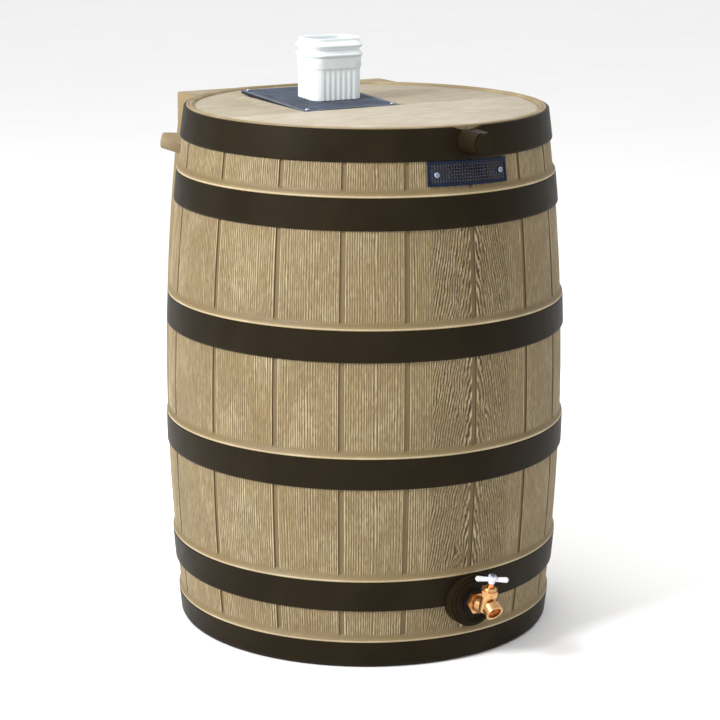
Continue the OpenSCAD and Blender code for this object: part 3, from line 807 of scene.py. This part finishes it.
def inlet_screen():
    """The tilted screen over the inlet, which bows a little at its front."""
    matrix = np.array(ON_SCREEN)

    def to_space(uvw):
        u, v, w = uvw.T
        bow = 1.4 * np.sin(np.clip(u / SCREEN_W, 0, 1) * math.pi) ** 2 * np.clip(1 - v / 60, 0, 1)
        local = np.stack([u - SCREEN_W / 2, v, w + 0.75 + bow], -1)
        return local @ matrix[:3, :3].T + matrix[:3, 3]

    mesh_part = woven(to_space, SCREEN_W, SCREEN_L, 3.0, 0.5, 6.0)
    frame_part = sheet_frame(to_space, SCREEN_W, SCREEN_L, 6.5, -0.7, 0.75)
    points, faces = merge([mesh_part, frame_part])
    obj = mesh_object("inlet_mesh", points, faces, SCREEN, slot="inlet_mesh", sharp=60)
    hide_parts("inlet_screen")

    # folded side edges that hang down from the sheet and close the gap at its sides, near black: partly their
    # own dark edge, partly painted shade of the gap under the screen
    n = 24
    v = np.linspace(2, SCREEN_L - 2, n)
    parts = []
    for u in (0.7, SCREEN_W - 1.9):
        ring = [(u, -0.6), (u + 1.2, -0.6), (u + 1.2, -4.2), (u, -4.2)]
        corners = np.concatenate([np.column_stack([np.full(n, du), v, np.full(n, w)]) for du, w in ring])
        spaced = to_space(corners)
        spaced[:, 2] = np.maximum(spaced[:, 2], PANEL_Z - 1.2)
        loop = quads(5, n, wrap=False)
        loop = np.where(loop >= 4 * n, loop - 4 * n, loop)
        caps = np.array([[3 * n, 2 * n, n, 0], [n - 1, 2 * n - 1, 3 * n - 1, 4 * n - 1]])
        parts.append((spaced, [loop[:, ::-1], caps[:, ::-1]]))
    mesh_object("inlet_mesh_edges", *merge(parts), SCREEN_EDGE_AND_SHADE, slot="inlet_mesh", sharp=40)


def overflow_screen():
    """The curved patch over the overflow slot, tucked under the hoop above it."""
    z0, high, wide = PATCH_Z, PATCH_H, PATCH_W
    r0, r1 = float(bulge(z0)) - 3.3, float(bulge(z0 + high)) - 3.3
    mean = (r0 + r1) / 2 + 2.0

    def to_space(uvw):
        u, v, w = uvw.T
        a = (u - wide / 2) / mean
        r = r0 + (r1 - r0) * v / high + 0.9 + w
        z = np.minimum(z0 + 1 + v - 0.014 * (u - wide / 2), 753.3)
        return np.stack([r * np.sin(a), -r * np.cos(a), z], -1)

    mesh_part = woven(to_space, wide, high, 4.4, 0.55, 4.0)
    frame_part = sheet_frame(to_space, wide, high, 4.6, -0.75, 0.75)
    obj = mesh_object("overflow_mesh_panel", *mesh_part, PATCH, slot="overflow_mesh", sharp=60)
    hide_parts("overflow_screen")
    mesh_object("overflow_mesh_border", *frame_part, PATCH_EDGE, slot="overflow_mesh", sharp=60)


def phillips(head_r, shank, segments=48):
    """Pan-head screw along Z, head resting on Z = 0, with a cross recess."""
    top = head_r * 0.62
    profile = [(head_r * f, z) for f, z in ((0.97, 0.0), (1.0, 0.25), (0.99, top * 0.45), (0.93, top * 0.68),
                                           (0.82, top * 0.86), (0.66, top * 0.95), (0.58, top * 0.97),
                                           (0.5, top * 0.98), (0.42, top * 0.99), (0.34, top),
                                           (0.26, top), (0.18, top), (0.1, top))]
    profile = [(0, -shank), (1.0, -shank), (1.5, -shank + 0.8), (1.5, -0.01)] + profile + [(0, top)]
    points, faces = lathe(profile, segments)
    arm = np.minimum(np.abs(points[:, 0]), np.abs(points[:, 1])) < head_r * 0.12
    reach = np.hypot(points[:, 0], points[:, 1])
    deep = arm & (reach < head_r * 0.6) & (points[:, 2] > top * 0.9)
    points[deep, 2] -= head_r * 0.34 * (1 - 0.5 * reach[deep] / (head_r * 0.6))
    return points, faces


def screws():
    """The four screws of the inlet screen and the two of the overflow patch."""
    parts = []
    for s in (-1, 1):
        for y in (SCREEN_INSET, SCREEN_L - SCREEN_INSET):
            place = ON_SCREEN @ at(s * (SCREEN_W / 2 - SCREEN_INSET), y, 1.5) @ turned("Z", 31 * s + y)
            parts.append(placed(phillips(4.0, 5.0), place))
    points, faces = merge(parts)
    top = mesh_object("inlet_screws", points, faces, STEEL, slot="screw_steel", sharp=40)
    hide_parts("inlet_screen_screws")
    parts = []
    middle = PATCH_Z + PATCH_H / 2
    tilt = math.degrees(math.asin((middle - BELLY_Z) / BULGE_R))
    for s in (-1, 1):
        place = (turned("Z", s * PATCH_SCREW_AZ - 90) @ at(float(bulge(middle)) + STAVE_FACE, 0, middle)
                 @ turned("Y", 90 - tilt) @ at(0, 0, 2.33) @ turned("Z", 25 + 40 * s))
        parts.append(placed(phillips(4.4, 8.0), place))
    points, faces = merge(parts)
    side = mesh_object("overflow_screws", points, faces, STEEL, slot="screw_steel", sharp=40)
    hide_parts("overflow_screen_screws")


tank_wall()
tank_head()
tank_floor()
side_nubs()
screen_kerb()
screen_posts()
inlet_screen()
overflow_screen()
screws()


# ---------------------------------------------------------------- carried-over nodes
FINISH = {
    "rim_hoop": HOOP, "upper_hoop": HOOP, "upper_middle_hoop": HOOP, "lower_middle_hoop": HOOP,
    "lower_hoop": HOOP, "base_hoop": HOOP, "spigot_insert": BRASS, "spigot_gasket": RUBBER,
    "spigot_body": BRASS, "spigot_bonnet": BRASS, "stem_packing": RUBBER, "valve_stem": COPPER,
    "seat_washer": RUBBER, "seat_washer_screw": BRASS, "tee_handle": HANDLE, "handle_screw": STEEL,
    "downspout_end": VINYL, "downspout_bellows": VINYL,
}
for name, material in FINISH.items():
    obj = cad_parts[name]
    obj.data.materials.clear()
    obj.data.materials.append(material)


# ---------------------------------------------------------------- floor, light, camera
def floor():
    """Wide white ground that isn't part of the object."""
    material = plain_material("studio_floor", (0.95, 0.95, 0.95), (0.97, 0.97, 0.97), 3, (0.7, 0.85),
                              300, 0.00005)
    n, reach = 60, 60000
    x = np.linspace(-reach, reach, n)
    grid = np.stack(np.meshgrid(x, x), -1).reshape(-1, 2)
    points = np.column_stack([grid, np.full(n * n, -0.05)])
    obj = mesh_object("studio_floor", points, [quads(n, n, wrap=False)], material, body=None)


def area_light(name, location, target, size, power):
    """White round light at location that faces target, in metres and watts."""
    data = bpy.data.lights.new(name, "AREA")
    data.shape = "DISK"
    data.size = size
    data.energy = power
    obj = bpy.data.objects.new(name, data)
    obj.location = location
    obj.rotation_euler = (Vector(target) - Vector(location)).to_track_quat("-Z", "Y").to_euler()
    bpy.context.scene.collection.objects.link(obj)


floor()
area_light("key", (-3.7, -0.5, 2.6), (0, 0, 0.45), 1.3, 220)
area_light("fill", (0.2, -4.4, 1.8), (0, 0, 0.4), 3.0, 12)
area_light("top", (0.2, 1.0, 3.6), (0, 0, 0.6), 2.0, 40)

world = bpy.data.worlds.new("studio")
world.use_nodes = True
world.node_tree.nodes["Background"].inputs["Color"].default_value = (1, 1, 1, 1)
world.node_tree.nodes["Background"].inputs["Strength"].default_value = 0.9
bpy.context.scene.world = world
bpy.context.scene.view_settings.view_transform = "Standard"

FRONT_AZIMUTH, PITCH, ROLL = 31.7, 13.65, 0.37
DISTANCE, CAMERA_Z = 3.556, 1.263
camera_data = bpy.data.cameras.new("camera")
camera_data.sensor_width = 36
camera_data.lens = 117.2
camera_data.shift_x = -0.0065
camera = bpy.data.objects.new("camera", camera_data)
a = math.radians(FRONT_AZIMUTH)
camera.matrix_world = (Matrix.Translation((-DISTANCE * math.sin(a), -DISTANCE * math.cos(a), CAMERA_Z))
                       @ Matrix.Rotation(-a, 4, "Z") @ Matrix.Rotation(math.radians(90 - PITCH), 4, "X")
                       @ Matrix.Rotation(math.radians(ROLL), 4, "Z"))
bpy.context.scene.collection.objects.link(camera)
bpy.context.scene.camera = camera
